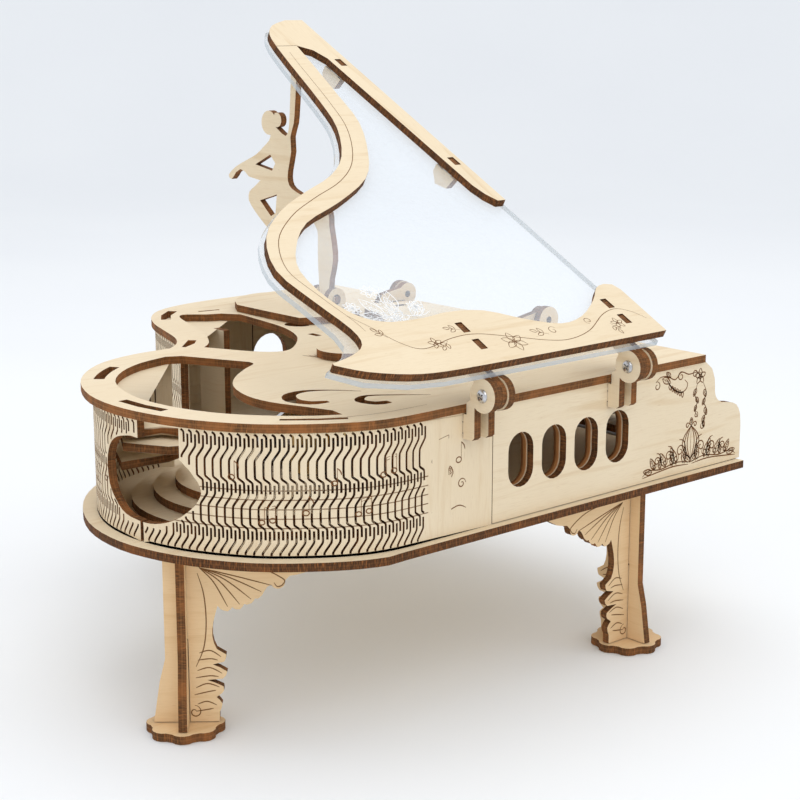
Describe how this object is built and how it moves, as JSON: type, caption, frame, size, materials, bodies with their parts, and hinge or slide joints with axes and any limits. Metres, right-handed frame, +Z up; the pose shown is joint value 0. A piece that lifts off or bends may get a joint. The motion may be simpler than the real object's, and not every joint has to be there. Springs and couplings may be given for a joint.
{
  "type": "wooden grand piano model kit",
  "caption": "Laser-cut plywood grand piano model with a hinged lid held up by a folding dancer, flexible curved walls, scrolled legs and a clockwork music movement.",
  "frame": {"origin": "middle of the model's footprint, on the surface it stands on", "axes": "+Z up, +Y towards the tail of the piano, +X towards the treble side"},
  "size_m": [0.2496, 0.2476, 0.2368],
  "materials": {
    "basswood_ply": "unvarnished 3 mm basswood plywood with laser-darkened edges and engraved lines",
    "clear_acrylic": "polished clear 2 mm sheet with a frosted engraving",
    "steel": "bright zinc",
    "brass": "satin"
  },
  "bodies": {
    "case": {"base_board": "basswood_ply", "top_board": "basswood_ply", "spine_panel": "basswood_ply", "treble_panel": "basswood_ply", "tail_skirt_spine": "basswood_ply", "tail_skirt_far": "basswood_ply", "bentside_skirt": "basswood_ply", "front_bulkhead": "basswood_ply", "key_slip": "basswood_ply", "inner_post": "basswood_ply", "step_plate_1": "basswood_ply", "step_plate_2": "basswood_ply", "step_plate_3": "basswood_ply", "bass_leg_plate_a": "basswood_ply", "bass_leg_plate_b": "basswood_ply", "bass_leg_foot": "basswood_ply", "treble_leg_plate_a": "basswood_ply", "treble_leg_plate_b": "basswood_ply", "treble_leg_foot": "basswood_ply", "tail_leg_plate_a": "basswood_ply", "tail_leg_plate_b": "basswood_ply", "tail_leg_foot": "basswood_ply", "front_hinge_bracket_outer": "basswood_ply", "front_hinge_bracket_inner": "basswood_ply", "rear_hinge_bracket_outer": "basswood_ply", "rear_hinge_bracket_inner": "basswood_ply", "prop_base": "basswood_ply", "top_button": "basswood_ply", "prop_ear_treble": "basswood_ply", "prop_ear_bass": "basswood_ply", "desk_bracket_bass": "basswood_ply", "desk_bracket_treble": "basswood_ply", "front_hinge_screw": "steel", "rear_hinge_screw": "steel", "key_rod": "steel", "movement_base": "steel", "bearing_plate_bass": "steel", "bearing_plate_treble": "steel", "comb": "steel", "spring_barrel": "brass"},
    "lid": {"lid_panel": "basswood_ply", "lid_front_bar": "basswood_ply", "lid_lug_front": "basswood_ply", "lid_lug_rear": "basswood_ply", "lid_catch_bass": "basswood_ply", "lid_catch_treble": "basswood_ply", "lid_acrylic": "clear_acrylic"},
    "dancer": {"dancer_prop": "basswood_ply"},
    "music_desk_flap": {"music_desk": "basswood_ply", "desk_lug_bass": "basswood_ply", "desk_lug_treble": "basswood_ply"},
    "winder": {"winding_key": "brass"},
    "drum": {"pin_cylinder": "brass"},
    "governor": {"governor_fan": "steel"},
    "keys_1": {"key_bank_1": "basswood_ply"},
    "keys_2": {"key_bank_2": "basswood_ply"},
    "keys_3": {"key_bank_3": "basswood_ply"},
    "keys_4": {"key_bank_4": "basswood_ply"},
    "keys_5": {"key_bank_5": "basswood_ply"},
    "keys_6": {"key_bank_6": "basswood_ply"}
  },
  "joints": [
    {"name": "lid_tilt", "type": "hinge", "parent": "case", "child": "lid", "pos_m": [-0.11883, -0.04877, 0.116], "axis": [0, -1, 0], "range_deg": [0, 55]},
    {"name": "dancer_fold", "type": "hinge", "parent": "case", "child": "dancer", "pos_m": [0.05437, -0.04437, 0.1194], "axis": [-1, 0, 0], "range_deg": [0, 90]},
    {"name": "desk_lift", "type": "hinge", "parent": "case", "child": "music_desk_flap", "pos_m": [0.00417, -0.08237, 0.1182], "axis": [1, 0, 0], "range_deg": [0, 80]},
    {"name": "keys_1_press", "type": "hinge", "parent": "case", "child": "keys_1", "pos_m": [-0.08582, -0.09087, 0.075], "axis": [1, 0, 0], "range_deg": [0, 4], "stiffness_Nm_per_rad": 0.02, "springref_deg": -5.73},
    {"name": "keys_2_press", "type": "hinge", "parent": "case", "child": "keys_2", "pos_m": [-0.04983, -0.09087, 0.075], "axis": [1, 0, 0], "range_deg": [0, 4], "stiffness_Nm_per_rad": 0.02, "springref_deg": -5.73},
    {"name": "keys_3_press", "type": "hinge", "parent": "case", "child": "keys_3", "pos_m": [-0.01383, -0.09087, 0.075], "axis": [1, 0, 0], "range_deg": [0, 4], "stiffness_Nm_per_rad": 0.02, "springref_deg": -5.73},
    {"name": "keys_4_press", "type": "hinge", "parent": "case", "child": "keys_4", "pos_m": [0.02217, -0.09087, 0.075], "axis": [1, 0, 0], "range_deg": [0, 4], "stiffness_Nm_per_rad": 0.02, "springref_deg": -5.73},
    {"name": "keys_5_press", "type": "hinge", "parent": "case", "child": "keys_5", "pos_m": [0.05817, -0.09087, 0.075], "axis": [1, 0, 0], "range_deg": [0, 4], "stiffness_Nm_per_rad": 0.02, "springref_deg": -5.73},
    {"name": "keys_6_press", "type": "hinge", "parent": "case", "child": "keys_6", "pos_m": [0.09417, -0.09087, 0.075], "axis": [1, 0, 0], "range_deg": [0, 4], "stiffness_Nm_per_rad": 0.02, "springref_deg": -5.73},
    {"name": "winder_turn", "type": "hinge", "parent": "case", "child": "winder", "pos_m": [-0.01683, 0.02163, 0.052], "axis": [0, 0, 1], "continuous": true},
    {"name": "drum_turn", "type": "hinge", "parent": "case", "child": "drum", "pos_m": [-0.01583, 0.00663, 0.07846], "axis": [1, 0, 0], "continuous": true},
    {"name": "governor_turn", "type": "hinge", "parent": "case", "child": "governor", "pos_m": [-0.00183, 0.02263, 0.07346], "axis": [0, 0, 1], "continuous": true}
  ],
  "couplings": [
    {"joint": "drum_turn", "follows": "winder_turn", "ratio": 2},
    {"joint": "governor_turn", "follows": "winder_turn", "ratio": 24}
  ]
}
